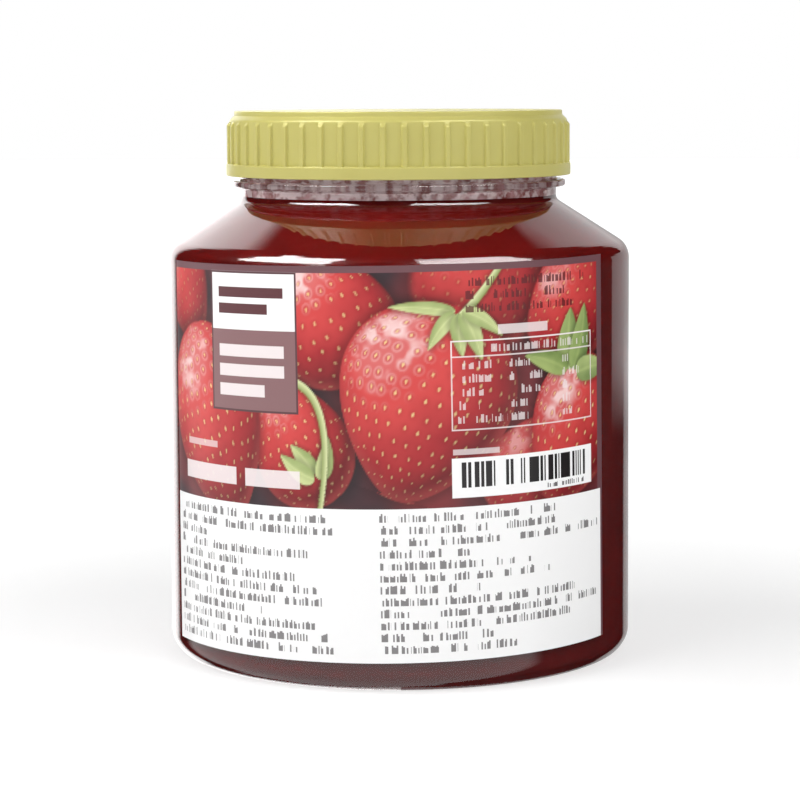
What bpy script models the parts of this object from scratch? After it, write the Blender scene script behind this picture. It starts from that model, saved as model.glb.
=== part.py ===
# Wide-mouth jam jar: a clear round jar filled with jam, a ribbed screw cap and a label
# wrapped round the front. The origin is the middle of the base, +Z is up and the label
# faces -Y.

import math

import bmesh
import bpy
from mathutils import Matrix, Vector

MM = 0.001

# Clearance kept between two pieces that touch
GAP = 0.3 * MM

# Jar
BODY_RADIUS = 52.3 * MM
WALL = 1.1 * MM
HEEL_HEIGHT = 3.1 * MM
HEEL_FILLET = 4.6 * MM
BASE_RADIUS = 50.1 * MM
BASE_FILLET = 3.2 * MM
SHOULDER_ANGLE = math.radians(32.6)
SHOULDER_TOP = 102.2 * MM
SHOULDER_FILLET = 4.8 * MM
NECK_RADIUS = 35.8 * MM
NECK_FILLET = 1.8 * MM
BEAD_RADIUS = 37.9 * MM
BEAD_BOTTOM = 105.1 * MM
BEAD_TOP = 106.7 * MM
BEAD_FILLET = 0.5 * MM

# Jam, filled a little way up the neck
JAM_LEVEL = 102.9 * MM

# Cap
CAP_TOP = 122.25 * MM
CAP_BOTTOM = 107.7 * MM
CAP_THICKNESS = 1.8 * MM
CAP_WALL = 1.2 * MM
CAP_EDGE = 120.2 * MM
CAP_EDGE_FILLET = 0.8 * MM
DISC_RADIUS = 37.15 * MM
DISC_BOTTOM = 121.2 * MM
DISC_FILLET = 0.3 * MM
PANEL_RADIUS = 38.2 * MM
BAND_TOP = 110.45 * MM
BAND_RADIUS = 39.05 * MM
BAND_FILLET = 0.25 * MM

# Ribs round the cap
RIB_COUNT = 52
RIB_PHASE = math.radians(0.9)
RIB_RADIUS = 38.85 * MM
RIB_WIDTH = 1.4 * MM
RIB_CREST = 1.0 * MM
RIB_TOP = 118.9 * MM
RIB_TOP_SLOPE = 1.1 * MM
RIB_ROOT = 0.6 * MM
RIB_BEVEL = 0.2 * MM

# Label, one sheet stuck on a little crooked
LABEL_WIDTH = 115.2 * MM
LABEL_HEIGHT = 83.9 * MM
LABEL_MIDDLE = 48.45 * MM
LABEL_THICKNESS = 0.3 * MM
LABEL_TILT = math.radians(0.8)

# Facets: a fillet under FINE_FILLET takes fewer steps
ROUND_STEPS = 72
CAP_STEPS = 64
ARC_STEPS = 3
FINE_ARC_STEPS = 2
FINE_FILLET = 1 * MM
LABEL_STEPS = 36


def clear_scene():
    for existing in list(bpy.data.objects):
        bpy.data.objects.remove(existing)


def add_collection(name):
    collection = bpy.data.collections.new(name)
    bpy.context.scene.collection.children.link(collection)
    return collection


def add_object(name, mesh, collection):
    made = bpy.data.objects.new(name, mesh)
    collection.objects.link(made)
    return made


def paint(piece, colour, roughness, transmission=0.0):
    material = bpy.data.materials.new(piece.name)
    material.use_nodes = True
    shader = material.node_tree.nodes["Principled BSDF"]
    shader.inputs["Base Color"].default_value = (*colour, 1.0)
    shader.inputs["Roughness"].default_value = roughness
    shader.inputs["Metallic"].default_value = 0.0
    shader.inputs["Transmission Weight"].default_value = transmission
    piece.data.materials.append(material)


def rounded(corners):
    """Points (radius, height) of an outline of corners (radius, height, fillet)."""
    points = []
    for index, (radius, height, fillet) in enumerate(corners):
        corner = Vector((radius, height))
        if not fillet:
            points.append(corner)
            continue
        back = (Vector(corners[index - 1][:2]) - corner).normalized()
        ahead = (Vector(corners[index + 1][:2]) - corner).normalized()
        half_angle = back.angle(ahead) / 2
        reach = fillet / math.tan(half_angle)
        centre = corner + (back + ahead).normalized() * fillet / math.sin(half_angle)
        start = corner + back * reach - centre
        end = corner + ahead * reach - centre
        steps = FINE_ARC_STEPS if fillet < FINE_FILLET else ARC_STEPS
        for step in range(steps + 1):
            spoke = start.slerp(end, step / steps)
            points.append(centre + spoke.normalized() * fillet)
    return points


def turned(name, corners, steps, collection):
    """A solid of revolution: the outline runs down its outer side, top to bottom."""
    points = rounded(corners)
    mesh = bpy.data.meshes.new(name)
    edges = [(index, index + 1) for index in range(len(points) - 1)]
    mesh.from_pydata([(point.x, 0, point.y) for point in points], edges, [])
    piece = add_object(name, mesh, collection)
    screw = piece.modifiers.new("Turn", "SCREW")
    screw.axis = "Z"
    screw.steps = steps
    screw.render_steps = steps
    screw.use_merge_vertices = True
    screw.merge_threshold = 0.00001
    screw.use_smooth_shade = True
    return piece


def body_corners(inset):
    """Corners of the jar's body from neck to base, moved into the wall by inset."""
    slope = math.tan(SHOULDER_ANGLE)
    drop = inset / math.cos(SHOULDER_ANGLE)
    neck = NECK_RADIUS - inset
    side = BODY_RADIUS - inset
    neck_height = SHOULDER_TOP - (neck - NECK_RADIUS) * slope - drop
    side_height = SHOULDER_TOP - (side - NECK_RADIUS) * slope - drop
    return [
        (neck, neck_height, NECK_FILLET + inset),
        (side, side_height, SHOULDER_FILLET - inset),
        (side, HEEL_HEIGHT, HEEL_FILLET - inset),
        (BASE_RADIUS - inset, inset, BASE_FILLET - inset),
    ]


def add_jar(collection):
    mouth = CAP_TOP - CAP_THICKNESS - GAP
    inner_side = list(reversed(body_corners(WALL)))
    corners = [
        (0, WALL, 0),
        *inner_side,
        (NECK_RADIUS - WALL, mouth, WALL / 3),
        (NECK_RADIUS, mouth, WALL / 3),
        (NECK_RADIUS, BEAD_TOP, BEAD_FILLET),
        (BEAD_RADIUS, BEAD_TOP, BEAD_FILLET),
        (BEAD_RADIUS, BEAD_BOTTOM, BEAD_FILLET),
        (NECK_RADIUS, BEAD_BOTTOM, BEAD_FILLET),
        *body_corners(0),
        (0, 0, 0),
    ]
    jar = turned("jar", corners, ROUND_STEPS, collection)
    paint(jar, (0.95, 0.95, 0.95), 0.03, transmission=1.0)


def add_jam(collection):
    inset = WALL + GAP
    corners = [
        (0, JAM_LEVEL, 0),
        (NECK_RADIUS - inset, JAM_LEVEL, 0),
        *body_corners(inset),
        (0, inset, 0),
    ]
    jam = turned("jam", corners, ROUND_STEPS, collection)
    paint(jam, (0.16, 0.006, 0.005), 0.25)


def add_rib_array(collection):
    """One tapered rib with a sloping top, and an array that repeats it round the cap."""
    depth = RIB_RADIUS - PANEL_RADIUS + RIB_ROOT
    bottom = BAND_TOP - RIB_ROOT
    height = RIB_TOP - bottom
    model = bmesh.new()
    bmesh.ops.create_cube(model, size=1.0)
    bmesh.ops.scale(model, vec=(RIB_WIDTH, depth, height), verts=model.verts)
    middle = Vector((0, -(RIB_RADIUS - depth / 2), bottom + height / 2))
    bmesh.ops.translate(model, vec=middle, verts=model.verts)
    for vertex in model.verts:
        if vertex.co.y < middle.y:
            vertex.co.x *= RIB_CREST / RIB_WIDTH
        elif vertex.co.z > middle.z:
            vertex.co.z += RIB_TOP_SLOPE
    crest = [edge for edge in model.edges if all(v.co.y < middle.y for v in edge.verts)]
    sides = [edge for edge in crest if edge.verts[0].co.x * edge.verts[1].co.x > 0]
    bmesh.ops.bevel(model, geom=sides, offset=RIB_BEVEL, segments=1, affect="EDGES")
    bmesh.ops.rotate(model, matrix=Matrix.Rotation(RIB_PHASE, 3, "Z"), verts=model.verts)
    mesh = bpy.data.meshes.new("ribs")
    model.to_mesh(mesh)
    model.free()
    ribs = add_object("ribs", mesh, collection)
    turn = add_object("rib_turn", None, collection)
    turn.rotation_euler.z = math.tau / RIB_COUNT
    array = ribs.modifiers.new("Round the cap", "ARRAY")
    array.count = RIB_COUNT
    array.use_relative_offset = False
    array.use_object_offset = True
    array.offset_object = turn
    for helper in (ribs, turn):
        helper.hide_render = True
    ribs.display_type = "WIRE"
    return ribs


def add_cap(collection, cutters):
    inner = PANEL_RADIUS - CAP_WALL
    ceiling = CAP_TOP - CAP_THICKNESS
    corners = [
        (0, CAP_TOP, 0),
        (DISC_RADIUS, CAP_TOP, DISC_FILLET),
        (DISC_RADIUS, DISC_BOTTOM, 0),
        (PANEL_RADIUS, CAP_EDGE, CAP_EDGE_FILLET),
        (PANEL_RADIUS, BAND_TOP, 0),
        (BAND_RADIUS, BAND_TOP, BAND_FILLET),
        (BAND_RADIUS, CAP_BOTTOM, BAND_FILLET),
        (inner, CAP_BOTTOM, 0),
        (inner, ceiling, CAP_EDGE_FILLET),
        (0, ceiling, 0),
    ]
    cap = turned("cap", corners, CAP_STEPS, collection)
    join = cap.modifiers.new("Join ribs", "BOOLEAN")
    join.operation = "UNION"
    join.solver = "EXACT"
    join.object = add_rib_array(cutters)
    paint(cap, (0.51, 0.47, 0.16), 0.4)


def add_label(collection):
    """A flat sheet, turned by its tilt and then wrapped round the wall of the jar."""
    model = bmesh.new()
    bmesh.ops.create_grid(model, x_segments=LABEL_STEPS, y_segments=1, size=0.5)
    bmesh.ops.scale(model, vec=(LABEL_WIDTH, LABEL_HEIGHT, 1), verts=model.verts)
    bmesh.ops.rotate(model, matrix=Matrix.Rotation(LABEL_TILT, 3, "Z"), verts=model.verts)
    radius = BODY_RADIUS + GAP
    for vertex in model.verts:
        angle = vertex.co.x / BODY_RADIUS
        height = LABEL_MIDDLE + vertex.co.y
        vertex.co = (radius * math.sin(angle), -radius * math.cos(angle), height)
    mesh = bpy.data.meshes.new("label")
    model.to_mesh(mesh)
    model.free()
    label = add_object("label", mesh, collection)
    shell = label.modifiers.new("Sheet", "SOLIDIFY")
    shell.thickness = LABEL_THICKNESS
    shell.offset = 1
    paint(label, (0.72, 0.32, 0.30), 0.35)


def main():
    clear_scene()
    parts = add_collection("jam_jar")
    cutters = add_collection("cutters")
    add_jar(parts)
    add_jam(parts)
    add_cap(parts, cutters)
    add_label(parts)


main()
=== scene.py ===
import math

import bpy
import numpy as np
from mathutils import Matrix, Vector


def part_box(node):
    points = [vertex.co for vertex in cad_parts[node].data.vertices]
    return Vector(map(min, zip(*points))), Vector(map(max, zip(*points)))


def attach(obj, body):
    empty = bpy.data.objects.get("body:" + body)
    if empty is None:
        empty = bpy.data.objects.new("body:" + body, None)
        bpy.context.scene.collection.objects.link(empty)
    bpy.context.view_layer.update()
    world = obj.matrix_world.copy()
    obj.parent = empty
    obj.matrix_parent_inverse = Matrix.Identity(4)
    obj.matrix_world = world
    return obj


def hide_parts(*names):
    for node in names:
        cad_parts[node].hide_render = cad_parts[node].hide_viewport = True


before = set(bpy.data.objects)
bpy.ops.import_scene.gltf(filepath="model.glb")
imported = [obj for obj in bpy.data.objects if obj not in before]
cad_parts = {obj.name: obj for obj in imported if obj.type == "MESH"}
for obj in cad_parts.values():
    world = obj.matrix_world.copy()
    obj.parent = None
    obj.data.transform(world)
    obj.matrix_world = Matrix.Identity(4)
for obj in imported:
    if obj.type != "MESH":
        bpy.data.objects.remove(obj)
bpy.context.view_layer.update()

mm = 0.001

# The jar's own sizes, read off the frame's solids where a solid gives them
jarLow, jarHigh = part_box("jar")
capLow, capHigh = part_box("cap")
jamLow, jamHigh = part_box("jam")
labelLow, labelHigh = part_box("label")

bodyRadius = jarHigh[0]
jarForm = {
    "mouth": jarHigh[2],
    "wall": 1.1 * mm,
    "heelHeight": 3.1 * mm,
    "heelFillet": 4.6 * mm,
    "baseRadius": 50.1 * mm,
    "baseFillet": 3.2 * mm,
    "shoulderAngle": math.radians(32.6),
    "shoulderTop": 102.2 * mm,
    "shoulderFillet": 4.8 * mm,
    "neckRadius": 35.8 * mm,
    "neckFillet": 1.8 * mm,
    "beadRadius": 37.9 * mm,
    "beadBottom": 105.1 * mm,
    "beadTop": 106.7 * mm,
    "beadFillet": 0.6 * mm,
    "columns": 256,
}


def linear(code):
    # sRGB hex to the linear red, green, blue and alpha that the shaders take
    parts = [int(code[i:i + 2], 16) / 255 for i in (1, 3, 5)]
    return tuple(c / 12.92 if c <= 0.04045 else ((c + 0.055) / 1.055) ** 2.4 for c in parts) + (1.0,)


def addNode(tree, kind, inputs=None, output=0, **settings):
    # one node with its settings; an input is a plain value or a socket to link
    node = tree.nodes.new(kind)
    for key, value in settings.items():
        setattr(node, key, value)
    for key, value in (inputs or {}).items():
        if isinstance(value, bpy.types.NodeSocket):
            tree.links.new(value, node.inputs[key])
        else:
            node.inputs[key].default_value = value
    return node.outputs[output] if node.outputs else node


def smoothStep(value, low, high):
    # 0 below low, 1 above high and a smooth S between
    t = np.clip((value - low) / (high - low), 0, 1)
    return t * t * (3 - 2 * t)


def newMaterial(name):
    material = bpy.data.materials.new(name)
    material.use_nodes = True
    material.node_tree.nodes.clear()
    return material, material.node_tree


def roundedOutline(corners, steps=8, support=0.12 * mm):
    # outline of (radius, height, fillet): each fillet becomes an arc, and long straight
    # runs get a point close to both ends, which keeps the shading of flats even
    points = []
    for index, (radius, height, fillet) in enumerate(corners):
        corner = np.array([radius, height])
        if not fillet:
            points.append([corner])
            continue
        back = np.array(corners[index - 1][:2]) - corner
        ahead = np.array(corners[index + 1][:2]) - corner
        back = back / np.linalg.norm(back)
        ahead = ahead / np.linalg.norm(ahead)
        half = math.acos(np.clip(back @ ahead, -1, 1)) / 2
        reach = fillet / math.tan(half)
        middle = back + ahead
        centre = corner + middle / np.linalg.norm(middle) * fillet / math.sin(half)
        start = corner + back * reach - centre
        end = corner + ahead * reach - centre
        sweep = math.pi - 2 * half
        t = np.linspace(0, 1, steps + 1)[:, None]
        arc = (start * np.sin((1 - t) * sweep) + end * np.sin(t * sweep)) / math.sin(sweep)
        points.append(centre + arc)
    line = np.concatenate([np.atleast_2d(p) for p in points])
    supported = [line[:1]]
    for a, b in zip(line[:-1], line[1:]):
        length = np.linalg.norm(b - a)
        if length > 4 * support:
            supported.append(np.array([a + (b - a) * support / length, b - (b - a) * support / length]))
        supported.append(b[None])
    return np.concatenate(supported)


def bodyCorners(inset):
    # corners of the body from neck to base, moved into the wall by inset
    slope = math.tan(jarForm["shoulderAngle"])
    drop = inset / math.cos(jarForm["shoulderAngle"])
    neck = jarForm["neckRadius"] - inset
    side = bodyRadius - inset
    neckHeight = jarForm["shoulderTop"] + inset * slope - drop
    sideHeight = jarForm["shoulderTop"] - (side - jarForm["neckRadius"]) * slope - drop
    return [
        (neck, neckHeight, jarForm["neckFillet"] + inset),
        (side, sideHeight, jarForm["shoulderFillet"] - inset),
        (side, jarForm["heelHeight"], jarForm["heelFillet"] - inset),
        (jarForm["baseRadius"] - inset, inset, jarForm["baseFillet"] - inset),
    ]


def gridObject(name, points, poleStart=None, poleEnd=None):
    # surface from an array points[row, column, xyz], closed round its columns; the rows run
    # down the outer side, and end in two poles or, without them, meet the first row again
    rows, columns = points.shape[:2]
    vertices = points.reshape(-1, 3)
    r = np.arange(rows if poleStart is None else rows - 1)[:, None]
    m = (r + 1) % rows
    c = np.arange(columns)[None, :]
    n = (c + 1) % columns
    quads = np.stack([r * columns + c, m * columns + c, m * columns + n, r * columns + n], -1)
    faces = [quads.reshape(-1, 4)]
    fans = []
    ring = np.arange(columns)
    after = (ring + 1) % columns
    if poleStart is not None:
        fans.append(np.stack([np.full(columns, len(vertices)), ring, after], -1))
        vertices = np.concatenate([vertices, [poleStart]])
    if poleEnd is not None:
        last = (rows - 1) * columns
        fans.append(np.stack([np.full(columns, len(vertices)), last + after, last + ring], -1))
        vertices = np.concatenate([vertices, [poleEnd]])
    mesh = bpy.data.meshes.new(name)
    mesh.from_pydata(vertices.tolist(), [], faces[0].tolist() + [f for fan in fans for f in fan.tolist()])
    mesh.shade_smooth()
    mesh.validate()
    piece = bpy.data.objects.new(name, mesh)
    bpy.context.scene.collection.objects.link(piece)
    return piece


def turnedPoints(outline, columns):
    # (radius, height) carried round the Z axis: x = r cos a, y = r sin a
    angle = np.linspace(0, math.tau, columns, endpoint=False)
    radius = outline[:, 0][:, None]
    height = np.repeat(outline[:, 1][:, None], columns, 1)
    return np.stack([radius * np.cos(angle), radius * np.sin(angle), height], -1)


def finish(piece, material, slot, *nodes):
    piece.data.materials.append(material)
    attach(piece, "root")
    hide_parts(*nodes)


# Clear jar

clearPet = {
    "ior": 1.57,
    "roughness": 0.015,
    "tint": "#FBF8F9",
    "waveHeight": 0.096 * mm,
    "waveSize": 14 * mm,
}


def makeClearPet():
    # PET, stretch blown: clear and glossy, with the faint long waves that blowing leaves
    material, tree = newMaterial("clear_blown_pet")
    place = addNode(tree, "ShaderNodeTexCoord", output=3)
    wave = addNode(tree, "ShaderNodeTexNoise", {
        "Vector": place,
        "Scale": 1 / clearPet["waveSize"],
        "Detail": 1.0,
    })
    bump = addNode(tree, "ShaderNodeBump", {
        "Height": wave,
        "Strength": 0.25,
        "Distance": clearPet["waveHeight"],
    })
    shell = addNode(tree, "ShaderNodeBsdfPrincipled", {
        "Base Color": linear(clearPet["tint"]),
        "Roughness": clearPet["roughness"],
        "IOR": clearPet["ior"],
        "Transmission Weight": 1.0,
        "Normal": bump,
    })
    passing = addNode(tree, "ShaderNodeBsdfTransparent", {"Color": (0.96, 0.95, 0.95, 1.0)})
    lamp = addNode(tree, "ShaderNodeLightPath", output="Is Shadow Ray")
    mixed = addNode(tree, "ShaderNodeMixShader", {0: lamp, 1: shell, 2: passing})
    addNode(tree, "ShaderNodeOutputMaterial", {"Surface": mixed})
    return material


def makeJar():
    wall = jarForm["wall"]
    neck = jarForm["neckRadius"]
    bead = jarForm["beadRadius"]
    fillet = jarForm["beadFillet"]
    corners = [
        (0.5 * mm, wall, 0),
        *reversed(bodyCorners(wall)),
        (neck - wall, jarForm["mouth"], wall / 3),
        (neck, jarForm["mouth"], wall / 3),
        (neck, jarForm["beadTop"], fillet),
        (bead, jarForm["beadTop"], fillet),
        (bead, jarForm["beadBottom"], fillet),
        (neck, jarForm["beadBottom"], fillet),
        *bodyCorners(0),
        (0.5 * mm, 0, 0),
    ]
    points = turnedPoints(roundedOutline(corners), jarForm["columns"])
    jar = gridObject("clear_jar", points, (0, 0, wall), (0, 0, 0))
    finish(jar, makeClearPet(), "clear_plastic", "jar")
    print("clear jar made")


# Jam

jamFill = {
    "into": 0.05 * mm,
    "level": jamHigh[2],
    "deep": "#450807",
    "bright": "#610E0B",
    "roughness": 0.22,
    "pulpSize": 11 * mm,
}


def makeJamMaterial():
    # cooked fruit jam, poured hot and set: dark, wet and clouded by pulp
    material, tree = newMaterial("set_fruit_jam")
    place = addNode(tree, "ShaderNodeTexCoord", output=3)
    pulp = addNode(tree, "ShaderNodeTexNoise", {
        "Vector": place,
        "Scale": 1 / jamFill["pulpSize"],
        "Detail": 4.0,
        "Roughness": 0.6,
    })
    tone = addNode(tree, "ShaderNodeMix", {
        0: pulp,
        6: linear(jamFill["deep"]),
        7: linear(jamFill["bright"]),
    }, output=2, data_type="RGBA")
    body = addNode(tree, "ShaderNodeBsdfPrincipled", {
        "Base Color": tone,
        "Roughness": jamFill["roughness"],
        "IOR": 1.4,
        "Specular IOR Level": 0.2,
    })
    addNode(tree, "ShaderNodeOutputMaterial", {"Surface": body})
    return material


def makeJam():
    inset = jarForm["wall"] - jamFill["into"]
    corners = [
        (0.5 * mm, jamFill["level"], 0),
        (jarForm["neckRadius"] - inset, jamFill["level"], 0),
        *bodyCorners(inset),
        (0.5 * mm, inset, 0),
    ]
    points = turnedPoints(roundedOutline(corners), jarForm["columns"])
    jam = gridObject("jam_fill", points, (0, 0, jamFill["level"]), (0, 0, inset))
    finish(jam, makeJamMaterial(), "jam", "jam")
    print("jam made")


# Smear: what the jam left on the neck's inner side above its level

smear = {
    "into": 0.05 * mm,
    "bottom": 102.6 * mm,
    "top": 112.0 * mm,
    "thin": 0.12 * mm,
    "thick": 0.55 * mm,
    "columns": 256,
    "rows": 30,
    "patchSize": 3.8 * mm,
    "spotSize": 2.4 * mm,
    "pale": "#EEDCDC",
    "pink": "#C9999A",
    "brown": "#8A4A46",
}


def makeSmearMaterial():
    # a drying film of fruit syrup on PET, whitish where it is thin and fogged
    material, tree = newMaterial("syrup_smear")
    place = addNode(tree, "ShaderNodeTexCoord", output=3)
    patches = addNode(tree, "ShaderNodeTexNoise", {
        "Vector": place,
        "Scale": 1 / smear["patchSize"],
        "Detail": 5.0,
        "Roughness": 0.65,
    })
    level = addNode(tree, "ShaderNodeMapRange", {0: patches, 1: 0.38, 2: 0.62})
    low = addNode(tree, "ShaderNodeMix", {0: level, 6: linear(smear["brown"]), 7: linear(smear["pink"])},
                  output=2, data_type="RGBA")
    spots = addNode(tree, "ShaderNodeTexNoise", {
        "Vector": place,
        "Scale": 1 / smear["spotSize"],
        "Detail": 3.0,
    })
    clear = addNode(tree, "ShaderNodeMapRange", {0: spots, 1: 0.44, 2: 0.58})
    tone = addNode(tree, "ShaderNodeMix", {0: clear, 6: low, 7: linear(smear["pale"])},
                   output=2, data_type="RGBA")
    bump = addNode(tree, "ShaderNodeBump", {"Height": patches, "Strength": 0.6, "Distance": 0.5 * mm})
    body = addNode(tree, "ShaderNodeBsdfPrincipled", {
        "Base Color": tone,
        "Roughness": 0.2,
        "IOR": 1.45,
        "Normal": bump,
    })
    addNode(tree, "ShaderNodeOutputMaterial", {"Surface": body})
    return material


def makeSmear():
    # outer side a little inside the wall: r = R; inner side r = R - thickness(a, z), which
    # thins to nothing at the top and bottom edges
    outerRadius = jarForm["neckRadius"] - jarForm["wall"] + smear["into"]
    angle = np.linspace(0, math.tau, smear["columns"], endpoint=False)
    z = np.linspace(smear["top"], smear["bottom"], smear["rows"])
    a, h = np.meshgrid(angle, z)
    lump = 0.5 + 0.28 * np.sin(a * 9 + h / mm * 1.7) + 0.22 * np.sin(a * 23 - h / mm * 2.6 + 1)
    depth = smear["thin"] + (smear["thick"] - smear["thin"]) * np.clip(lump, 0, 1)
    rim = smoothStep(np.minimum(smear["top"] - h, h - smear["bottom"]), 0, 1 * mm)
    depth = depth * (0.3 + 0.7 * rim)
    outer = np.stack([outerRadius * np.cos(a), outerRadius * np.sin(a), h], -1)
    inner = np.stack([(outerRadius - depth) * np.cos(a), (outerRadius - depth) * np.sin(a), h], -1)
    points = np.concatenate([outer, inner[::-1], outer[:1]])
    film = gridObject("jam_smear", points[:-1])
    film.data.materials.clear()
    film.data.materials.append(makeSmearMaterial())
    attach(film, "root")
    print("smear made")


# Cap

capForm = {
    "thickness": 1.8 * mm,
    "wall": 1.2 * mm,
    "edge": 120.2 * mm,
    "edgeFillet": 0.8 * mm,
    "discRadius": 37.15 * mm,
    "discBottom": 121.2 * mm,
    "discFillet": 0.3 * mm,
    "panelRadius": 38.2 * mm,
    "bandTop": 110.45 * mm,
    "bandRadius": 39.05 * mm,
    "bandFillet": 0.25 * mm,
    "ribs": 52,
    "ribPhase": math.radians(0.9),
    "ribRadius": 38.85 * mm,
    "ribWidth": 1.48 * mm,
    "ribCrest": 0.84 * mm,
    "ribTop": 118.9 * mm,
    "ribTopSlope": 1.1 * mm,
    "across": (0, 0.3, 0.42, 0.5, 0.58, 0.66, 0.74, 0.85, 1.15, 1.7),
    "colour": "#C3BC70",
    "shade": "#BAB264",
}


def makeCapMaterial():
    # polypropylene, injection moulded: even satin skin with a faint orange-peel
    material, tree = newMaterial("moulded_polypropylene")
    place = addNode(tree, "ShaderNodeTexCoord", output=3)
    flow = addNode(tree, "ShaderNodeTexNoise", {"Vector": place, "Scale": 120.0, "Detail": 3.0})
    tone = addNode(tree, "ShaderNodeMix", {
        0: flow,
        6: linear(capForm["shade"]),
        7: linear(capForm["colour"]),
    }, output=2, data_type="RGBA")
    grain = addNode(tree, "ShaderNodeTexNoise", {"Vector": place, "Scale": 1800.0, "Detail": 2.0})
    bump = addNode(tree, "ShaderNodeBump", {"Height": grain, "Strength": 0.15, "Distance": 0.02 * mm})
    body = addNode(tree, "ShaderNodeBsdfPrincipled", {
        "Base Color": tone,
        "Roughness": 0.38,
        "IOR": 1.49,
        "Subsurface Weight": 0.15,
        "Subsurface Radius": (1.0, 0.9, 0.5),
        "Subsurface Scale": 0.8 * mm,
        "Normal": bump,
    })
    addNode(tree, "ShaderNodeOutputMaterial", {"Surface": body})
    return material


def makeCap():
    top = capHigh[2]
    bottom = capLow[2]
    panel = capForm["panelRadius"]
    inner = panel - capForm["wall"]
    ceiling = top - capForm["thickness"]
    corners = [
        (0.5 * mm, top, 0),
        (capForm["discRadius"], top, capForm["discFillet"]),
        (capForm["discRadius"], capForm["discBottom"], 0.08 * mm),
        (panel, capForm["edge"], capForm["edgeFillet"]),
        (panel, capForm["bandTop"], 0.15 * mm),
        (capForm["bandRadius"], capForm["bandTop"], capForm["bandFillet"]),
        (capForm["bandRadius"], bottom, capForm["bandFillet"]),
        (inner, bottom, 0.1 * mm),
        (inner, ceiling, 0.5 * mm),
        (0.5 * mm, ceiling, 0),
    ]
    outline = roundedOutline(corners, steps=5, support=0.1 * mm)
    # rows of their own for the ribs' slanted tops, between the edge's arc and the band's
    wall = np.isclose(outline[:, 0], panel, atol=1e-8) & (outline[:, 1] > capForm["bandTop"])
    upper, lower = outline[wall, 1].max(), outline[wall, 1].min()
    rows = np.concatenate([
        np.linspace(upper, capForm["ribTop"] - 0.3 * mm, 12),
        np.linspace(capForm["ribTop"] - 0.3 * mm, lower, 5)[1:],
    ])
    first, last = np.flatnonzero(wall)[[0, -1]]
    added = np.stack([np.full(len(rows), panel), rows], -1)
    outline = np.concatenate([outline[:first], added, outline[last + 1:]])

    # columns: a rib's crest, flanks and feet at the same places in every pitch
    pitch = math.tau / capForm["ribs"]
    half = np.array(capForm["across"])
    offsets = np.concatenate([-half[:0:-1], half, [pitch * panel / 2 / mm]]) * mm
    across = np.tile(np.abs(offsets), capForm["ribs"])
    angle = (np.arange(capForm["ribs"])[:, None] * pitch + offsets[None, :] / panel).ravel()
    angle = angle + capForm["ribPhase"] - math.pi / 2
    rib = 1 - smoothStep(across, capForm["ribCrest"] / 2, capForm["ribWidth"] / 2)
    crown = 1 - 0.12 * np.clip(across / capForm["ribCrest"], 0, 1) ** 2
    height = (capForm["ribRadius"] - panel) * crown * rib

    # radius = largest of the outline's and the rib's, whose top slants back into the wall
    z = np.repeat(outline[:, 1][:, None], len(angle), 1)
    slant = smoothStep(capForm["ribTop"] + capForm["ribTopSlope"] - z, 0, capForm["ribTopSlope"])
    outside = (outline[:, 0] > capForm["discRadius"]) & (outline[:, 1] > capForm["bandTop"] - 0.01 * mm)
    ribbed = np.where(outside[:, None], panel + slant * height[None, :], 0)
    radius = np.maximum(outline[:, 0][:, None], np.where(slant * rib > 0, ribbed, 0))
    points = np.stack([radius * np.cos(angle), radius * np.sin(angle), z], -1)
    cap = gridObject("ribbed_cap", points, (0, 0, top), (0, 0, ceiling))
    finish(cap, makeCapMaterial(), "cap_plastic", "cap")
    print("cap made")


# Label: a picture of berries in heaps above a white panel, painted in label millimetres

def hashed(i, j, seed):
    # an even random number from 0 to 1 for every pair of whole numbers
    value = np.sin(i * 127.1 + j * 311.7 + seed * 74.7) * 43758.5453
    return value - np.floor(value)


def clouds(x, y, size, seed):
    # smooth value noise from 0 to 1, of two octaves, with blobs about size mm wide
    total = 0
    for step, share in ((1, 0.65), (2, 0.35)):
        u, v = x / size * step, y / size * step
        i, j = np.floor(u), np.floor(v)
        f, g = smoothStep(u - i, 0, 1), smoothStep(v - j, 0, 1)
        low = hashed(i, j, seed + step) * (1 - f) + hashed(i + 1, j, seed + step) * f
        high = hashed(i, j + 1, seed + step) * (1 - f) + hashed(i + 1, j + 1, seed + step) * f
        total = total + share * (low * (1 - g) + high * g)
    return total


def over(under, colour, mask):
    return under * (1 - mask[..., None]) + np.asarray(colour) * mask[..., None]


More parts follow.
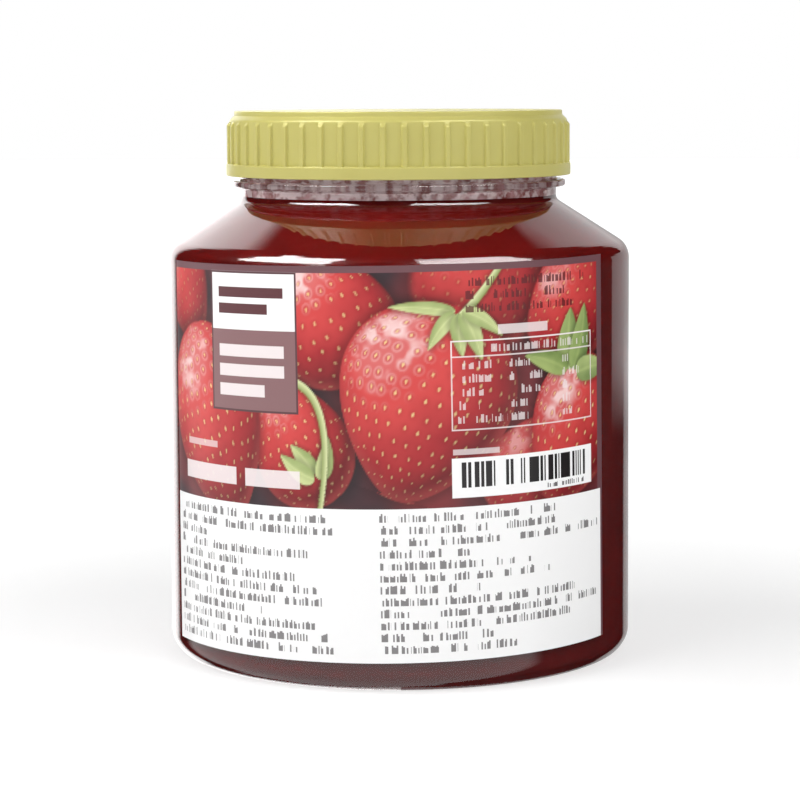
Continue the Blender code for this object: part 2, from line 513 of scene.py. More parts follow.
def paintBerry(under, x, y, berry, look):
    # t runs from the tip (-1) to the stalk (1), s across (-1 to 1) over the outline's half width
    turn = math.radians(berry["turn"])
    right, ahead = (math.cos(turn), math.sin(turn)), (-math.sin(turn), math.cos(turn))
    dx, dy = x - berry["at"][0], y - berry["at"][1]
    t = (dx * ahead[0] + dy * ahead[1]) / berry["half"][1]
    within = np.clip(t, -0.9999, 0.9999)
    round_ = np.sqrt(1 - within ** 2)
    half = round_ * (0.86 + 0.22 * within - 0.1 * within ** 2)
    s = (dx * right[0] + dy * right[1]) / berry["half"][0] / np.maximum(half, 0.02)
    soft = berry.get("soft", 0.35)
    beside = (dx * right[0] + dy * right[1]) / berry["half"][0]
    edge = 1 - np.where(np.abs(t) < 0.97, np.hypot(s * round_, within), np.hypot(beside * 1.2, t))
    edge = edge * berry["half"][0]
    shadow = smoothStep(edge, -3.5, 0.8) * berry.get("shadow", 0.6)
    under = under * (1 - shadow[..., None] * np.array([0.75, 0.92, 0.9]))
    mask = smoothStep(edge, -soft / 2, soft / 2)
    # a ball under the outline gives the normal
    nx = np.clip(s, -1, 1) * round_
    nz = np.sqrt(np.clip(1 - nx ** 2 - within ** 2, 0, 1))
    ny = within
    wx = nx * right[0] + ny * ahead[0]
    wy = nx * right[1] + ny * ahead[1]
    lit = wx * look["light"][0] + wy * look["light"][1] + nz * look["light"][2]
    # seeds in staggered rows over the ball
    lat, lon = np.arcsin(ny), np.arctan2(nx, nz)
    step = berry.get("step", 0.2)
    row = np.round(lat / step)
    count = np.maximum(np.round(math.tau * np.cos(row * step) / step / 1.12), 3)
    space = math.tau / count
    shift = (row % 2) * 0.5 + berry["seed"]
    col = np.round(lon / space - shift)
    jx = (hashed(row, col, berry["seed"]) - 0.5) * 0.3 * step
    jy = (hashed(col, row, berry["seed"] + 5) - 0.5) * 0.3 * step
    du = (lon - (col + shift) * space) * np.cos(lat) - jx
    dv = lat - row * step - jy
    seedShape = np.hypot(du / 0.62, dv) / step
    pit = np.exp(-(np.hypot(du, dv) / step / 0.27) ** 2)
    seedMask = 1 - smoothStep(seedShape, 0.10, 0.19)
    rim = np.exp(-((np.hypot(du, dv + 0.05 * step) / step - 0.33) / 0.09) ** 2)
    tone = clouds(x, y, 5.5, berry["seed"] + 11)
    shade = np.clip(lit, 0, 1) ** 0.9
    colour = berryTone(shade, tone, look) * berry.get("gain", 1.0)
    colour = colour * (1 - 0.30 * pit[..., None] * np.array([0.6, 1, 1]))
    gloss = np.clip(wx * look["gloss"][0] + wy * look["gloss"][1] + nz * look["gloss"][2], 0, 1)
    streaks = smoothStep(clouds(x, y, 3.1, berry["seed"] + 3), 0.45, 0.72)
    glint = smoothStep(gloss, 0.84, 1.0) * (0.14 + 0.8 * streaks) * (1 - 0.8 * pit)
    glint = glint + rim * smoothStep(gloss, 0.72, 0.99) * 0.28
    glint = np.clip(glint * berry.get("shine", 1.0), 0, 0.95)
    colour = over(colour, linear(look["glint"])[:3], glint)
    seedTint = np.array(linear(look["seed"])[:3]) * (0.45 + 0.65 * shade[..., None])
    seedMask = seedMask * berry.get("seeds", 0.85) * (0.5 + 0.5 * smoothStep(nz, 0.05, 0.4))
    colour = over(colour, seedTint, seedMask)
    bounce = smoothStep(np.hypot(nx, ny), 0.82, 1.0) * 0.28 * np.clip(0.6 - wy, 0, 1)
    colour = over(colour, linear(look["bounce"])[:3], bounce)
    return over(under, colour, mask)


def berryTone(shade, tone, look):
    dark, middle, bright = [np.array(linear(look[k])[:3]) for k in ("dark", "middle", "bright")]
    level = np.clip(shade * 1.05 + (tone - 0.5) * 0.28, 0, 1)[..., None]
    low = dark + (middle - dark) * np.clip(level / 0.55, 0, 1)
    return low + (bright - middle) * np.clip((level - 0.55) / 0.45, 0, 1)


def paintLeaf(under, x, y, leaf, look):
    # a leaf along its direction, bent by bend, widest a third of the way out
    turn = math.radians(leaf["turn"])
    dx, dy = x - leaf["at"][0], y - leaf["at"][1]
    along = (dx * math.cos(turn) + dy * math.sin(turn)) / leaf["long"]
    across = (-dx * math.sin(turn) + dy * math.cos(turn)) / leaf["long"] - leaf["bend"] * along ** 2
    inside = np.clip(along, 0.0001, 0.9999)
    half = leaf["wide"] / leaf["long"] * 2.2 * inside ** 0.45 * (1 - inside) ** 0.85
    gap = (half - np.abs(across)) * leaf["long"]
    gap = np.where((along > 0) & (along < 1), gap, -9)
    near = smoothStep(gap, -1.6, 0.3) * 0.45
    under = under * (1 - near[..., None])
    mask = smoothStep(gap, -0.15, 0.15)
    vein = np.exp(-(across / np.maximum(half, 0.01) / 0.14) ** 2)
    lean = smoothStep(across / np.maximum(half, 0.01), -1, 1)
    tone = 0.25 + 0.5 * lean + 0.25 * clouds(x, y, 2.0, leaf["at"][0]) + 0.25 * vein
    tone = np.clip(tone, 0, 1)[..., None]
    low = np.array(linear(leaf.get("low", look["leafLow"]))[:3])
    high = np.array(linear(leaf.get("high", look["leafHigh"]))[:3])
    return over(under, low + (high - low) * tone, mask)


def paintStem(under, x, y, stem, look):
    # a round stalk along a quadratic curve through start, bend and end
    a, b, c = (np.array(stem[k]) for k in ("start", "bend", "end"))
    best = np.full(x.shape, 1e9)
    side = np.zeros(x.shape)
    place = np.zeros(x.shape)
    for k in np.linspace(0, 1, 60):
        px, py = a * (1 - k) ** 2 + b * 2 * k * (1 - k) + c * k ** 2
        tx, ty = (b - a) * (1 - k) + (c - b) * k
        size = math.hypot(tx, ty)
        gap = np.hypot(x - px, y - py)
        lean = ((x - px) * -ty + (y - py) * tx) / size
        closer = gap < best
        best = np.where(closer, gap, best)
        side = np.where(closer, lean, side)
        place = np.where(closer, k, place)
    wide = stem["wide"] / 2 * (1 - 0.35 * place)
    under = under * (1 - 0.5 * smoothStep(wide + 1.2 - best, 0, 1.4))[..., None]
    mask = smoothStep(wide - best, -0.15, 0.15)
    low, high = np.array(linear(look["stemLow"])[:3]), np.array(linear(look["stemHigh"])[:3])
    tone = np.clip(0.55 + 0.5 * side / wide * stem.get("lit", 1), 0, 1)[..., None]
    return over(under, low + (high - low) * tone, mask)


picture = {
    "light": (-0.34, 0.46, 0.82),
    "gloss": (-0.42, 0.60, 0.68),
    "dark": "#6C1018",
    "middle": "#A9242A",
    "bright": "#D84644",
    "glint": "#FBD9D6",
    "seed": "#F0D594",
    "bounce": "#C65450",
    "gap": "#33242A",
    "gapWarm": "#7E2C30",
    "leafLow": "#6F8A3C",
    "leafHigh": "#D5DE9E",
    "stemLow": "#7F9144",
    "stemHigh": "#DFE6AE",
    "berries": [
        # far ones first, softer
        {"at": (24, 39), "half": (17, 15), "turn": 160, "seed": 1, "soft": 2.5, "seeds": 0.25,
         "gain": 0.92, "shine": 0.4},
        {"at": (-52, 37), "half": (12, 14), "turn": 30, "seed": 2, "soft": 1.5, "seeds": 0.4,
         "shine": 0.5},
        {"at": (47, 32), "half": (15, 14), "turn": -60, "seed": 3, "soft": 1.0, "seeds": 0.5,
         "shine": 0.6},
        {"at": (-9, 31), "half": (16, 15), "turn": 200, "seed": 4, "soft": 0.6, "seeds": 0.7, "step": 0.22},
        {"at": (34, -2), "half": (12, 12), "turn": 150, "seed": 9, "soft": 0.8, "seeds": 0.5,
         "gain": 0.8, "shine": 0.4},
        {"at": (-17, 5), "half": (13, 15), "turn": -152, "seed": 5, "step": 0.21},
        {"at": (48, 5), "half": (16, 17), "turn": -30, "seed": 6, "step": 0.2},
        {"at": (-41, 8), "half": (18, 22), "turn": 22, "seed": 7, "step": 0.17},
        {"at": (11, 13), "half": (22, 21.5), "turn": -18, "seed": 8, "step": 0.155},
    ],
    "stems": [
        {"start": (19, 31), "bend": (24, 36), "end": (29, 43), "wide": 1.9},
        {"start": (-20, 18), "bend": (-7, 17), "end": (-12, -10), "wide": 1.8},
    ],
    "leaves": [
        {"at": (17.5, 32), "turn": 168, "long": 14, "wide": 1.5, "bend": 0.12},
        {"at": (17.5, 31.5), "turn": 215, "long": 9, "wide": 1.8, "bend": 0.3},
        {"at": (18.5, 31.5), "turn": 262, "long": 9, "wide": 2.0, "bend": 0.2},
        {"at": (18.8, 31.8), "turn": 305, "long": 11, "wide": 2.2, "bend": -0.2},
        {"at": (19.2, 32), "turn": 345, "long": 10, "wide": 1.8, "bend": -0.3},
        {"at": (-13, -2), "turn": 120, "long": 8, "wide": 2.0, "bend": 0.2},
        {"at": (-13, -3), "turn": 165, "long": 9, "wide": 2.2, "bend": -0.3},
        {"at": (-12, -3), "turn": 60, "long": 9, "wide": 2.0, "bend": 0.3},
        {"at": (46, 18), "turn": 100, "long": 13, "wide": 3.6, "bend": -0.2, "low": "#4E6E33", "high": "#A9BC73"},
        {"at": (47, 18), "turn": 60, "long": 14, "wide": 3.2, "bend": 0.25, "low": "#46662F", "high": "#9FB46B"},
        {"at": (45, 18), "turn": 150, "long": 12, "wide": 2.6, "bend": 0.2, "low": "#50702F", "high": "#A8BA70"},
        {"at": (48, 17), "turn": 15, "long": 11, "wide": 3.0, "bend": -0.2, "low": "#4C6A33", "high": "#B4C57E"},
    ],
}


def paintPicture(x, y):
    # the print's picture at label coordinates in mm: a heap of berries, linear colours
    warm = clouds(x, y, 14, 20)
    colour = over(np.zeros(x.shape + (3,)) + np.array(linear(picture["gap"])[:3]),
                  linear(picture["gapWarm"])[:3], smoothStep(warm, 0.35, 0.8))
    for berry in picture["berries"][:-1]:
        colour = paintBerry(colour, x, y, berry, picture)
    for leaf in picture["leaves"][5:]:
        colour = paintLeaf(colour, x, y, leaf, picture)
    colour = paintBerry(colour, x, y, picture["berries"][-1], picture)
    for stem in picture["stems"]:
        colour = paintStem(colour, x, y, stem, picture)
    for leaf in picture["leaves"][:5]:
        colour = paintLeaf(colour, x, y, leaf, picture)
    return np.clip(colour, 0, 1)


labelForm = {
    "width": 115.2,
    "height": 83.9,
    "middle": 48.45 * mm,
    "tilt": math.radians(0.8),
    "lift": 0.03 * mm,
    "thickness": 0.08 * mm,
    "cell": 0.3,
    "panelTop": -9.2,
    "panelCell": 4.0,
    "coarse": 4,
    "border": "#6E4A50",
    "panel": "#FCFCFC",
    "ink": "#4A4446",
    "box": "#FDFDFD",
    "boxLow": "#8A6668",
    "boxEdge": "#5A3A3E",
    "mark": "#5C3236",
    "pale": "#F6ECEC",
}


def boxGroup():
    # mask 1 inside a box of half size Half round Centre, and 0 outside; Outline is 1 in a band Edge wide just inside
    # its edge
    tree = bpy.data.node_groups.new("box", "ShaderNodeTree")
    for name, kind in (("Place", "Vector"), ("Centre", "Vector"), ("Half", "Vector"), ("Edge", "Float")):
        tree.interface.new_socket(name, in_out="INPUT", socket_type="NodeSocket" + kind)
    tree.interface.new_socket("Mask", in_out="OUTPUT", socket_type="NodeSocketFloat")
    tree.interface.new_socket("Outline", in_out="OUTPUT", socket_type="NodeSocketFloat")
    given = tree.nodes.new("NodeGroupInput").outputs
    shifted = addNode(tree, "ShaderNodeVectorMath", {0: given["Place"], 1: given["Centre"]}, operation="SUBTRACT")
    beside = addNode(tree, "ShaderNodeVectorMath", {0: shifted}, operation="ABSOLUTE")
    gap = addNode(tree, "ShaderNodeVectorMath", {0: beside, 1: given["Half"]}, operation="SUBTRACT")
    gapX = addNode(tree, "ShaderNodeSeparateXYZ", {0: gap}, output="X")
    gapY = addNode(tree, "ShaderNodeSeparateXYZ", {0: gap}, output="Y")
    far = addNode(tree, "ShaderNodeMath", {0: gapX, 1: gapY}, operation="MAXIMUM")
    inside = addNode(tree, "ShaderNodeMapRange", {0: far, 1: -0.04, 2: 0.04, 3: 1.0, 4: 0.0})
    depth = addNode(tree, "ShaderNodeMath", {0: far, 1: given["Edge"]}, operation="ADD")
    core = addNode(tree, "ShaderNodeMapRange", {0: depth, 1: -0.04, 2: 0.04, 3: 1.0, 4: 0.0})
    outline = addNode(tree, "ShaderNodeMath", {0: inside, 1: core}, operation="SUBTRACT")
    addNode(tree, "NodeGroupOutput", {"Mask": inside, "Outline": outline})
    return tree


def rowsGroup():
    # rows of plain upright ticks, grey from afar as small print is: row = floor(down / Pitch),
    # tick = floor(across / Tick); a tick's own noise says whether it is there and how tall
    tree = bpy.data.node_groups.new("rows", "ShaderNodeTree")
    for name in ("Place", "Centre", "Half"):
        tree.interface.new_socket(name, in_out="INPUT", socket_type="NodeSocketVector")
    for name in ("Pitch", "Fill", "Cell", "Tick", "Cover", "Shortest", "Seed"):
        tree.interface.new_socket(name, in_out="INPUT", socket_type="NodeSocketFloat")
    tree.interface.new_socket("Mask", in_out="OUTPUT", socket_type="NodeSocketFloat")
    given = tree.nodes.new("NodeGroupInput").outputs
    area = {key: given[key] for key in ("Place", "Centre", "Half")}
    mask = addNode(tree, "ShaderNodeGroup", area, output="Mask", node_tree=bpy.data.node_groups["box"])
    centred = addNode(tree, "ShaderNodeVectorMath", {0: given["Place"], 1: given["Centre"]}, operation="SUBTRACT")
    flipped = addNode(tree, "ShaderNodeVectorMath", {0: centred, 1: (1, -1, 0)}, operation="MULTIPLY")
    cornered = addNode(tree, "ShaderNodeVectorMath", {0: flipped, 1: given["Half"]}, operation="ADD")
    across = addNode(tree, "ShaderNodeSeparateXYZ", {0: cornered}, output="X")
    down = addNode(tree, "ShaderNodeSeparateXYZ", {0: cornered}, output="Y")
    rowPlace = addNode(tree, "ShaderNodeMath", {0: down, 1: given["Pitch"]}, operation="DIVIDE")
    row = addNode(tree, "ShaderNodeMath", {0: rowPlace}, operation="FLOOR")
    inRow = addNode(tree, "ShaderNodeMath", {0: rowPlace}, operation="FRACT")
    filled = addNode(tree, "ShaderNodeMath", {0: inRow, 1: given["Fill"]}, operation="LESS_THAN")
    cellPlace = addNode(tree, "ShaderNodeMath", {0: across, 1: given["Cell"]}, operation="DIVIDE")
    cell = addNode(tree, "ShaderNodeMath", {0: cellPlace}, operation="FLOOR")
    inCell = addNode(tree, "ShaderNodeMath", {0: cellPlace}, operation="FRACT")
    solid = addNode(tree, "ShaderNodeMath", {0: inCell, 1: 0.86}, operation="LESS_THAN")
    key = addNode(tree, "ShaderNodeCombineXYZ", {0: cell, 1: row, 2: given["Seed"]})
    kept = addNode(tree, "ShaderNodeTexWhiteNoise", {"Vector": key}, output="Value")
    present = addNode(tree, "ShaderNodeMath", {0: kept, 1: 0.12}, operation="GREATER_THAN")
    rowKey = addNode(tree, "ShaderNodeCombineXYZ", {0: 7.0, 1: row, 2: given["Seed"]})
    length = addNode(tree, "ShaderNodeTexWhiteNoise", {"Vector": rowKey}, output="Value")
    width = addNode(tree, "ShaderNodeSeparateXYZ", {0: given["Half"]}, output="X")
    share = addNode(tree, "ShaderNodeMapRange", {0: length, 1: 0.0, 2: 0.85, 3: given["Shortest"], 4: 2.0})
    end = addNode(tree, "ShaderNodeMath", {0: share, 1: width}, operation="MULTIPLY")
    short = addNode(tree, "ShaderNodeMath", {0: across, 1: end}, operation="LESS_THAN")
    tickPlace = addNode(tree, "ShaderNodeMath", {0: across, 1: given["Tick"]}, operation="DIVIDE")
    tick = addNode(tree, "ShaderNodeMath", {0: tickPlace}, operation="FLOOR")
    tickKey = addNode(tree, "ShaderNodeCombineXYZ", {0: tick, 1: row, 2: given["Seed"]})
    chance = addNode(tree, "ShaderNodeTexWhiteNoise", {"Vector": tickKey}, output="Value")
    inked = addNode(tree, "ShaderNodeMath", {0: chance, 1: given["Cover"]}, operation="LESS_THAN")
    tip = addNode(tree, "ShaderNodeMath", {0: chance, 1: 0.55}, operation="MULTIPLY")
    tall = addNode(tree, "ShaderNodeMath", {0: inRow, 1: tip}, operation="GREATER_THAN")
    for part in (filled, solid, present, short, inked, tall):
        mask = addNode(tree, "ShaderNodeMath", {0: mask, 1: part}, operation="MULTIPLY")
    addNode(tree, "NodeGroupOutput", {"Mask": mask})
    return tree


def stripesGroup():
    # upright stripes of uneven width: white noise over steps of Step mm
    tree = bpy.data.node_groups.new("stripes", "ShaderNodeTree")
    for name, kind in (("Place", "Vector"), ("Centre", "Vector"), ("Half", "Vector"), ("Step", "Float")):
        tree.interface.new_socket(name, in_out="INPUT", socket_type="NodeSocket" + kind)
    tree.interface.new_socket("Mask", in_out="OUTPUT", socket_type="NodeSocketFloat")
    given = tree.nodes.new("NodeGroupInput").outputs
    area = {key: given[key] for key in ("Place", "Centre", "Half")}
    whole = addNode(tree, "ShaderNodeGroup", area, output="Mask", node_tree=bpy.data.node_groups["box"])
    across = addNode(tree, "ShaderNodeSeparateXYZ", {0: given["Place"]}, output="X")
    place = addNode(tree, "ShaderNodeMath", {0: across, 1: given["Step"]}, operation="DIVIDE")
    step = addNode(tree, "ShaderNodeMath", {0: place}, operation="FLOOR")
    noise = addNode(tree, "ShaderNodeTexWhiteNoise", {"W": step}, output="Value", noise_dimensions="1D")
    inked = addNode(tree, "ShaderNodeMath", {0: noise, 1: 0.52}, operation="LESS_THAN")
    mask = addNode(tree, "ShaderNodeMath", {0: whole, 1: inked}, operation="MULTIPLY")
    addNode(tree, "NodeGroupOutput", {"Mask": mask})
    return tree


def makeLabelMaterial():
    # polypropylene film, gravure printed and overlacquered: even colour with a soft sheen
    material, tree = newMaterial("printed_film")
    box, rows, stripes = boxGroup(), rowsGroup(), stripesGroup()
    flat = addNode(tree, "ShaderNodeUVMap", uv_map="print")
    centred = addNode(tree, "ShaderNodeVectorMath", {0: flat, 1: (0.5, 0.5, 0)}, operation="SUBTRACT")
    place = addNode(tree, "ShaderNodeVectorMath", {0: centred, 1: (labelForm["width"], labelForm["height"], 0)},
                    operation="MULTIPLY")
    painted = addNode(tree, "ShaderNodeAttribute", attribute_name="picture")
    colour = addNode(tree, "ShaderNodeRGB")
    colour.default_value = linear(labelForm["border"])

    def lay(mask, ink, strength=1.0):
        factor = addNode(tree, "ShaderNodeMath", {0: mask, 1: strength}, operation="MULTIPLY")
        return addNode(tree, "ShaderNodeMix", {0: factor, 6: colour, 7: ink}, output=2, data_type="RGBA")

    def shape(group, output="Mask", **inputs):
        return addNode(tree, "ShaderNodeGroup", {"Place": place, **inputs}, output=output, node_tree=group)

    ink, pale = linear(labelForm["ink"]), linear(labelForm["pale"])
    colour = lay(shape(box, Centre=(-1.0, 15.65, 0), Half=(56.6, 24.85, 0)), painted)
    colour = lay(shape(box, Centre=(-0.4, -25.6, 0), Half=(57.2, 16.4, 0)), linear(labelForm["panel"]))
    # name box: bare white above, mauve below, each with plain bars
    colour = lay(shape(box, Centre=(-28.3, 34.3, 0), Half=(11.8, 6.3, 0)), linear(labelForm["box"]))
    colour = lay(shape(box, Centre=(-28.3, 19.4, 0), Half=(11.8, 8.7, 0)), linear(labelForm["boxLow"]))
    colour = lay(shape(box, Centre=(-28.3, 25.6, 0), Half=(11.9, 15.0, 0), Edge=0.45, output="Outline"),
                 linear(labelForm["boxEdge"]))
    colour = lay(shape(box, Centre=(-28.6, 36.1, 0), Half=(9.0, 1.1, 0)), linear(labelForm["mark"]))
    colour = lay(shape(box, Centre=(-30.6, 32.6, 0), Half=(7.0, 1.1, 0)), linear(labelForm["mark"]))
    colour = lay(shape(box, Centre=(-28.6, 23.6, 0), Half=(9.0, 1.3, 0)), pale, 0.9)
    colour = lay(shape(box, Centre=(-28.6, 19.4, 0), Half=(9.0, 1.3, 0)), pale, 0.9)
    colour = lay(shape(box, Centre=(-31.1, 15.2, 0), Half=(6.5, 1.3, 0)), pale, 0.9)
    # weight place: plain pale bars
    colour = lay(shape(box, Centre=(-42.6, -3.4, 0), Half=(9.6, 1.9, 0)), pale, 0.85)
    colour = lay(shape(box, Centre=(-23.4, -3.4, 0), Half=(7.0, 1.9, 0)), pale, 0.85)
    colour = lay(shape(box, Centre=(-45.0, 2.9, 0), Half=(6.0, 0.7, 0)), pale, 0.55)
    # upper right rows, table and small caption
    colour = lay(shape(rows, Centre=(36.4, 35.3, 0), Half=(16.6, 3.9, 0), Pitch=2.75, Fill=0.72, Cell=2.1,
                       Tick=0.36, Cover=0.6, Shortest=1.6, Seed=1), linear("#5A1A20"), 0.85)
    colour = lay(shape(box, Centre=(33.2, 27.9, 0), Half=(6.2, 1.0, 0)), pale, 0.7)
    for middle, half in (((34.8, 16.4), (18.4, 9.5)), ((34.8, 24.1), (18.4, 1.8))):
        colour = lay(shape(box, Centre=(*middle, 0), Half=(*half, 0), Edge=0.3, output="Outline"), pale, 0.75)
    for left, wide, seed in ((17.8, 5.6, 2), (29.6, 4.4, 3), (43.6, 2.6, 4)):
        colour = lay(shape(rows, Centre=(left + wide, 14.6, 0), Half=(wide, 7.1, 0), Pitch=2.85, Fill=0.66, Cell=2.0,
                           Tick=0.36, Cover=0.55, Shortest=0.8, Seed=seed), pale, 0.6)
    colour = lay(shape(rows, Centre=(38.5, 24.1, 0), Half=(13.5, 0.95, 0), Pitch=1.9, Fill=0.95, Cell=2.0,
                       Tick=0.36, Cover=0.55, Shortest=1.9, Seed=5), pale, 0.6)
    colour = lay(shape(box, Centre=(21.8, 2.4, 0), Half=(5.2, 0.6, 0)), pale, 0.6)
    # code box with uneven stripes and small dashes under them
    colour = lay(shape(box, Centre=(34.7, -3.1, 0), Half=(18.4, 4.2, 0)), linear(labelForm["box"]))
    colour = lay(shape(stripes, Centre=(34.7, -2.5, 0), Half=(16.3, 2.7, 0), Step=0.36), linear("#1E1A1C"))
    colour = lay(shape(rows, Centre=(44.6, -6.25, 0), Half=(6.2, 0.55, 0), Pitch=1.1, Fill=1.0, Cell=1.2,
                       Tick=0.3, Cover=0.6, Shortest=2.0, Seed=6), ink, 0.9)
    # the panel's two columns
    colour = lay(shape(rows, Centre=(-28.2, -25.6, 0), Half=(27.4, 15.2, 0), Pitch=2.54, Fill=0.74, Cell=2.06,
                       Tick=0.35, Cover=0.58, Shortest=0.4, Seed=7), ink, 0.82)
    colour = lay(shape(rows, Centre=(28.2, -25.3, 0), Half=(27.4, 15.2, 0), Pitch=2.54, Fill=0.74, Cell=2.06,
                       Tick=0.35, Cover=0.58, Shortest=0.5, Seed=8), ink, 0.82)
    wave = addNode(tree, "ShaderNodeTexCoord", output=3)
    lacquer = addNode(tree, "ShaderNodeTexNoise", {"Vector": wave, "Scale": 60.0, "Detail": 2.0})
    bump = addNode(tree, "ShaderNodeBump", {"Height": lacquer, "Strength": 0.2, "Distance": 0.1 * mm})
    body = addNode(tree, "ShaderNodeBsdfPrincipled", {
        "Base Color": colour,
        "Roughness": 0.32,
        "IOR": 1.49,
        "Normal": bump,
    })
    addNode(tree, "ShaderNodeOutputMaterial", {"Surface": body})
    return material


def labelSheet(x, y, radius):
    # label millimetres, turned by the tilt and wrapped round the wall:
    # angle = along / body radius, x = r sin(angle), y = -r cos(angle)
    cos, sin = math.cos(labelForm["tilt"]), math.sin(labelForm["tilt"])
    along = (x * cos - y * sin) * mm
    z = labelForm["middle"] + (x * sin + y * cos) * mm
    angle = along / bodyRadius
    return np.stack([radius * np.sin(angle), -radius * np.cos(angle), z], -1)


def makeLabel():
    half = labelForm["width"] / 2, labelForm["height"] / 2
    coarse = labelForm["coarse"]
    columns = round(labelForm["width"] / labelForm["cell"] / coarse) * coarse
    fine = round((half[1] - labelForm["panelTop"]) / labelForm["cell"])
    few = round((labelForm["panelTop"] + half[1]) / labelForm["panelCell"])
    while (fine + few) % coarse:
        fine += 1
    across = np.linspace(-half[0], half[0], columns + 1)
    up = np.concatenate([
        np.linspace(-half[1], labelForm["panelTop"] - 0.6, few + 1)[:-1],
        np.linspace(labelForm["panelTop"] - 0.6, half[1], fine + 1),
    ])
    x, y = np.meshgrid(across, up)
    front = labelSheet(x, y, bodyRadius + labelForm["lift"] + labelForm["thickness"])
    back = labelSheet(x, y, bodyRadius + labelForm["lift"])[::coarse, ::coarse]
    vertices = np.concatenate([front.reshape(-1, 3), back.reshape(-1, 3)])
    grid = np.arange(x.size).reshape(x.shape)
    rear = x.size + np.arange(back.shape[0] * back.shape[1]).reshape(back.shape[:2])

    def quads(ids):
        return np.stack([ids[:-1, :-1], ids[:-1, 1:], ids[1:, 1:], ids[1:, :-1]], -1).reshape(-1, 4)

    # the fine front's edge joins the coarse back's, one many-sided face per coarse step
    frontLoop = np.concatenate([grid[0, :-1], grid[:-1, -1], grid[-1, :0:-1], grid[:0:-1, 0]])
    rearLoop = np.concatenate([rear[0, :-1], rear[:-1, -1], rear[-1, :0:-1], rear[:0:-1, 0]])
    steps = np.arange(len(rearLoop))[:, None]
    outerIds = frontLoop[(steps * coarse + np.arange(coarse, -1, -1)) % len(frontLoop)]
    rim = np.concatenate([outerIds, rearLoop[steps], rearLoop[(steps + 1) % len(rearLoop)]], 1)
    faces = quads(grid).tolist() + quads(rear)[:, ::-1].tolist() + rim.tolist()
    mesh = bpy.data.meshes.new("front_label")
    mesh.from_pydata(vertices.tolist(), [], faces)
    flatX = np.concatenate([x.ravel(), x[::coarse, ::coarse].ravel()])
    flatY = np.concatenate([y.ravel(), y[::coarse, ::coarse].ravel()])
    layer = mesh.uv_layers.new(name="print")
    corner = np.empty(len(mesh.loops), np.int32)
    mesh.loops.foreach_get("vertex_index", corner)
    flat = np.stack([flatX / labelForm["width"] + 0.5, flatY / labelForm["height"] + 0.5], -1)
    layer.uv.foreach_set("vector", flat[corner].ravel())
    shade = mesh.attributes.new("picture", "FLOAT_COLOR", "POINT")
    colours = paintPicture(flatX, flatY)
    shade.data.foreach_set("color", np.concatenate([colours, np.ones((len(colours), 1))], 1).ravel())
    mesh.shade_smooth()
    mesh.set_sharp_from_angle(angle=math.radians(40))
    label = bpy.data.objects.new("front_label", mesh)
    bpy.context.scene.collection.objects.link(label)
    finish(label, makeLabelMaterial(), "label_film", "label")
    print("label made:", len(mesh.polygons), "faces")


# Studio: a white floor, a white surround, two softboxes and the fields that shiny pieces show

studio = {
    "cameraAzimuth": math.radians(5.83),
    "cameraDistance": 588.6 * mm,
    "cameraHeight": 127.1 * mm,
    "cameraPitch": math.radians(4.758),
    "cameraRoll": math.radians(0.27),
    "lens": 116.415,
    "shiftX": 0.00125,
    "shiftY": -0.12,
    "floor": "#BCBCBC",
    "glowNear": 0.55,
    "glowFar": 1.0,
    "room": 0.01,
    "fields": (
        ((-95, -40), (30, 60), 2.0, 17.0),
        ((12, 78), (33, 60), 2.0, 11.0),
        ((-184, -148), (-90, 45), 4.0, 2.2),
        ((150, 184), (8, 47), 2.0, 0.95),
        ((-130, 70), (-95, -1), 6.0, 1.2),
        ((131, 184), (-6.8, 8), 1.0, 0.6),
        ((151, 184), (-95, -6.8), 2.0, 0.6),
    ),
    "fill": 0.2,
}


def around(azimuth, elevation, distance, height=0.0):
    # a point seen from the jar: azimuth 0 is towards the camera, and grows to its right
    a = math.radians(azimuth) + studio["cameraAzimuth"]
    e = math.radians(elevation)
    return Vector((
        distance * math.cos(e) * math.sin(a),
        -distance * math.cos(e) * math.cos(a),
        distance * math.sin(e) + height,
    ))


def makeCamera():
    data = bpy.data.cameras.new("camera")
    data.sensor_width = 36
    data.lens = studio["lens"]
    data.shift_x = studio["shiftX"]
    data.shift_y = studio["shiftY"]
    camera = bpy.data.objects.new("camera", data)
    turn = Matrix.Rotation(studio["cameraAzimuth"], 4, "Z")
    tip = Matrix.Rotation(math.pi / 2 - studio["cameraPitch"], 4, "X")
    place = Matrix.Translation((0, -studio["cameraDistance"], studio["cameraHeight"]))
    roll = Matrix.Rotation(-studio["cameraRoll"], 4, "Z")
    camera.matrix_world = turn @ place @ tip @ roll
    bpy.context.scene.collection.objects.link(camera)
    bpy.context.scene.camera = camera


def makeSoftbox(name, azimuth, elevation, distance, width, height, radiance):
    data = bpy.data.lights.new(name, "AREA")
    data.shape = "RECTANGLE"
    data.size = width
    data.size_y = height
    data.energy = radiance * math.pi * width * height
    light = bpy.data.objects.new(name, data)
    target = Vector((0, 0, 0.06))
    light.location = around(azimuth, elevation, distance, 0.06)
    light.rotation_euler = (light.location - target).to_track_quat("Z", "Y").to_euler()
    light.visible_glossy = False
    light.visible_transmission = False
    bpy.context.scene.collection.objects.link(light)


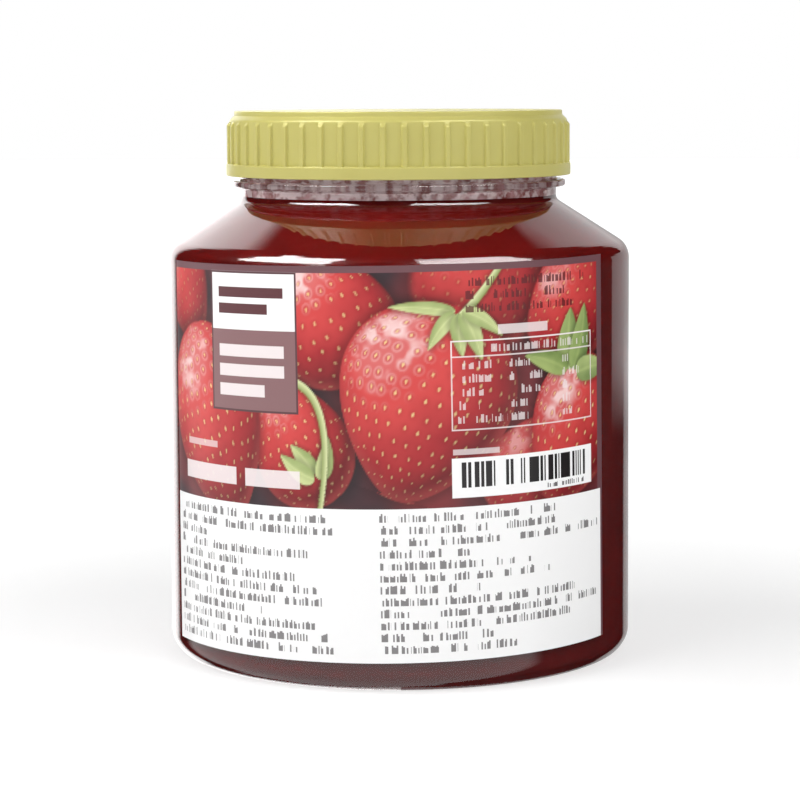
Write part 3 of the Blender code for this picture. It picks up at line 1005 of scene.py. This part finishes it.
def makeFloor():
    # white acrylic lit from below, a little less right under the jar
    mesh = bpy.data.meshes.new("floor")
    side = 4.0
    mesh.from_pydata([(-side, -side, 0), (side, -side, 0), (side, side, 0), (-side, side, 0)], [], [(0, 1, 2, 3)])
    floor = bpy.data.objects.new("floor", mesh)
    bpy.context.scene.collection.objects.link(floor)
    material, tree = newMaterial("white_acrylic_sheet")
    place = addNode(tree, "ShaderNodeTexCoord", output=3)
    away = addNode(tree, "ShaderNodeVectorMath", {0: place}, output="Value", operation="LENGTH")
    glow = addNode(tree, "ShaderNodeMapRange", {0: away, 1: 0.10, 2: 0.42, 3: studio["glowNear"], 4: studio["glowFar"]},
                   interpolation_type="SMOOTHSTEP")
    body = addNode(tree, "ShaderNodeBsdfPrincipled", {
        "Base Color": linear(studio["floor"]),
        "Roughness": 0.8,
        "Specular IOR Level": 0.1,
        "Emission Color": (1.0, 1.0, 1.0, 1.0),
        "Emission Strength": glow,
    })
    addNode(tree, "ShaderNodeOutputMaterial", {"Surface": body})
    mesh.materials.append(material)
    floor.visible_glossy = False


def makeSurround():
    # what the camera sees straight on is white, diffuse light gets an even dim fill, and the
    # shiny pieces see soft-edged fields of light, each (azimuths), (elevations), edge, strength
    world = bpy.data.worlds.new("surround")
    bpy.context.scene.world = world
    world.cycles.sampling_method = "NONE"  # lamps are sampled, the fields only met by rays
    world.use_nodes = True
    tree = world.node_tree
    tree.nodes.clear()
    facing = addNode(tree, "ShaderNodeTexCoord")
    toward = addNode(tree, "ShaderNodeVectorMath", {0: facing, 1: around(0, 0, 1.0)}, output="Value",
                     operation="DOT_PRODUCT")
    right = addNode(tree, "ShaderNodeVectorMath", {0: facing, 1: around(90, 0, 1.0)}, output="Value",
                    operation="DOT_PRODUCT")
    height = addNode(tree, "ShaderNodeSeparateXYZ", {0: facing}, output="Z")
    azimuth = addNode(tree, "ShaderNodeMath", {0: right, 1: toward}, operation="ARCTAN2")
    elevation = addNode(tree, "ShaderNodeMath", {0: height}, operation="ARCSINE")
    shiny = addNode(tree, "ShaderNodeValue")
    shiny.node.outputs[0].default_value = studio["room"]
    for azimuths, elevations, edge, strength in studio["fields"]:
        level = strength
        for angle, (low, high) in ((azimuth, azimuths), (elevation, elevations)):
            for at, start, end in ((low, 0.0, 1.0), (high, 1.0, 0.0)):
                share = addNode(tree, "ShaderNodeMapRange", {
                    0: angle,
                    1: math.radians(at - edge),
                    2: math.radians(at + edge),
                    3: start,
                    4: end,
                }, interpolation_type="SMOOTHSTEP")
                level = addNode(tree, "ShaderNodeMath", {0: share, 1: level}, operation="MULTIPLY")
        shiny = addNode(tree, "ShaderNodeMath", {0: shiny, 1: level}, operation="ADD")
    camera = addNode(tree, "ShaderNodeLightPath", output="Is Camera Ray")
    diffuse = addNode(tree, "ShaderNodeLightPath", output="Is Diffuse Ray")
    filled = addNode(tree, "ShaderNodeMix", {0: diffuse, 2: shiny, 3: studio["fill"]}, data_type="FLOAT")
    strength = addNode(tree, "ShaderNodeMix", {0: camera, 2: filled, 3: 1.0}, data_type="FLOAT")
    light = addNode(tree, "ShaderNodeBackground", {"Color": (1, 1, 1, 1), "Strength": strength})
    addNode(tree, "ShaderNodeOutputWorld", {"Surface": light})


def makeStudio():
    makeCamera()
    makeFloor()
    makeSurround()
    makeSoftbox("softbox_left", -68, 46, 0.9, 0.9, 0.5, 4.2)
    makeSoftbox("softbox_right", 45, 48, 0.9, 0.9, 0.5, 3.0)
    scene = bpy.context.scene
    scene.view_settings.view_transform = "Standard"
    scene.cycles.use_denoising = True
    scene.cycles.max_bounces = 16
    scene.cycles.transmission_bounces = 12
    print("studio made")


makeStudio()
makeJar()
makeJam()
makeSmear()
makeCap()
makeLabel()
